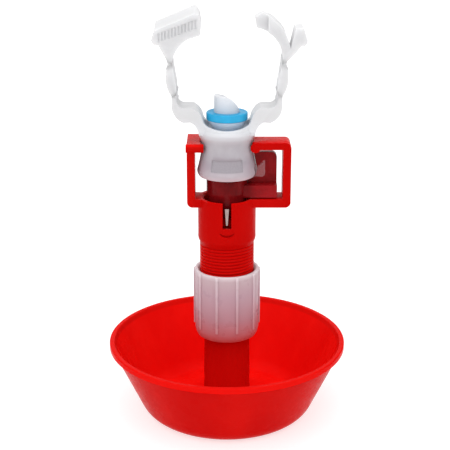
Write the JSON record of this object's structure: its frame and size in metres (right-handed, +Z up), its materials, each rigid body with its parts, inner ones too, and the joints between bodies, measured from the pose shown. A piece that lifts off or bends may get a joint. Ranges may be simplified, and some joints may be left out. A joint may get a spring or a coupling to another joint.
{
  "type": "hanging cup drinker for poultry",
  "caption": "Hanging nipple drinker: push-fit pipe clip, nipple valve with turn lever, slotted red hanger with level nut, column and conical bowl.",
  "frame": {"origin": "centre of the bowl's underside, on the surface it stands on", "axes": "+Z up along the column, -Y towards the tube's slot and the label panel, +X towards the valve lever; the water pipe runs along Y"},
  "size_m": [0.088, 0.088, 0.1514],
  "materials": {
    "clip_white": "satin",
    "spout_white": "satin",
    "ring_blue": "satin",
    "maroon": "gloss",
    "red": "gloss",
    "nut_clear": "satin",
    "steel": "polished",
    "rubber_dark": "matte"
  },
  "bodies": {
    "saddle": {"saddle_socket": "clip_white", "inlet_spout": "spout_white", "inlet_filter": "steel", "seal_ring": "ring_blue"},
    "left_link": {"left_link": "clip_white"},
    "left_jaw": {"left_jaw": "clip_white"},
    "right_link": {"right_link": "clip_white"},
    "right_jaw": {"right_jaw": "clip_white"},
    "valve": {"valve_body": "maroon", "valve_seat": "steel", "seat_seal": "rubber_dark", "ball_seat": "spout_white", "valve_ball": "steel", "body_o_ring": "rubber_dark"},
    "pin": {"trigger_pin": "steel"},
    "hanger": {"hanger_frame": "red"},
    "washer": {"spring_washer": "steel"},
    "nut": {"adjusting_nut": "nut_clear"},
    "cup": {"column": "red", "column_head": "red", "bowl": "red", "level_spring": "steel"}
  },
  "joints": [
    {"name": "left_arm_fold", "type": "hinge", "parent": "saddle", "child": "left_link", "pos_m": [-0.01895, 0, 0.1215], "axis": [0, 1, 0], "range_deg": [0, 34], "stiffness_Nm_per_rad": 0.002},
    {"name": "left_jaw_fold", "type": "hinge", "parent": "left_link", "child": "left_jaw", "pos_m": [-0.01915, 0, 0.133], "axis": [0, 1, 0], "range_deg": [-23.8, 0], "stiffness_Nm_per_rad": 0.001},
    {"name": "right_arm_fold", "type": "hinge", "parent": "saddle", "child": "right_link", "pos_m": [0.01895, 0, 0.1215], "axis": [0, -1, 0], "range_deg": [0, 34], "stiffness_Nm_per_rad": 0.002},
    {"name": "right_jaw_fold", "type": "hinge", "parent": "right_link", "child": "right_jaw", "pos_m": [0.01915, 0, 0.133], "axis": [0, -1, 0], "range_deg": [-23.8, 0], "stiffness_Nm_per_rad": 0.001},
    {"name": "lever_turn", "type": "hinge", "parent": "saddle", "child": "valve", "pos_m": [0, 0, 0.095], "axis": [0, 0, 1], "range_deg": [0, 60]},
    {"name": "hanger_swing", "type": "hinge", "parent": "saddle", "child": "hanger", "pos_m": [0, 0, 0.103], "axis": [1, 0, 0], "range_deg": [-3, 3]},
    {"name": "pin_tilt", "type": "hinge", "parent": "saddle", "child": "pin", "pos_m": [0, 0, 0.091], "axis": [1, 0, 0], "range_deg": [-5.2, 5.2]},
    {"name": "nut_turn", "type": "hinge", "parent": "washer", "child": "nut", "pos_m": [0, 0, 0.045], "axis": [0, 0, 1], "range_deg": [-360, 720]},
    {"name": "nut_travel", "type": "slide", "parent": "hanger", "child": "washer", "axis": [0, 0, 1], "range_m": [-0.0012, 0.0024]},
    {"name": "cup_slide", "type": "slide", "parent": "hanger", "child": "cup", "axis": [0, 0, 1], "range_m": [-0.0025, 0], "stiffness_N_per_m": 200, "springref_m": 0.0025, "deforming": ["level_spring"]}
  ],
  "couplings": [
    {"joint": "left_jaw_fold", "follows": "left_arm_fold", "ratio": -0.7},
    {"joint": "right_jaw_fold", "follows": "right_arm_fold", "ratio": -0.7},
    {"joint": "pin_tilt", "follows": "hanger_swing", "ratio": 1.733},
    {"joint": "nut_turn", "follows": "nut_travel", "rad_per_m": 5236}
  ]
}
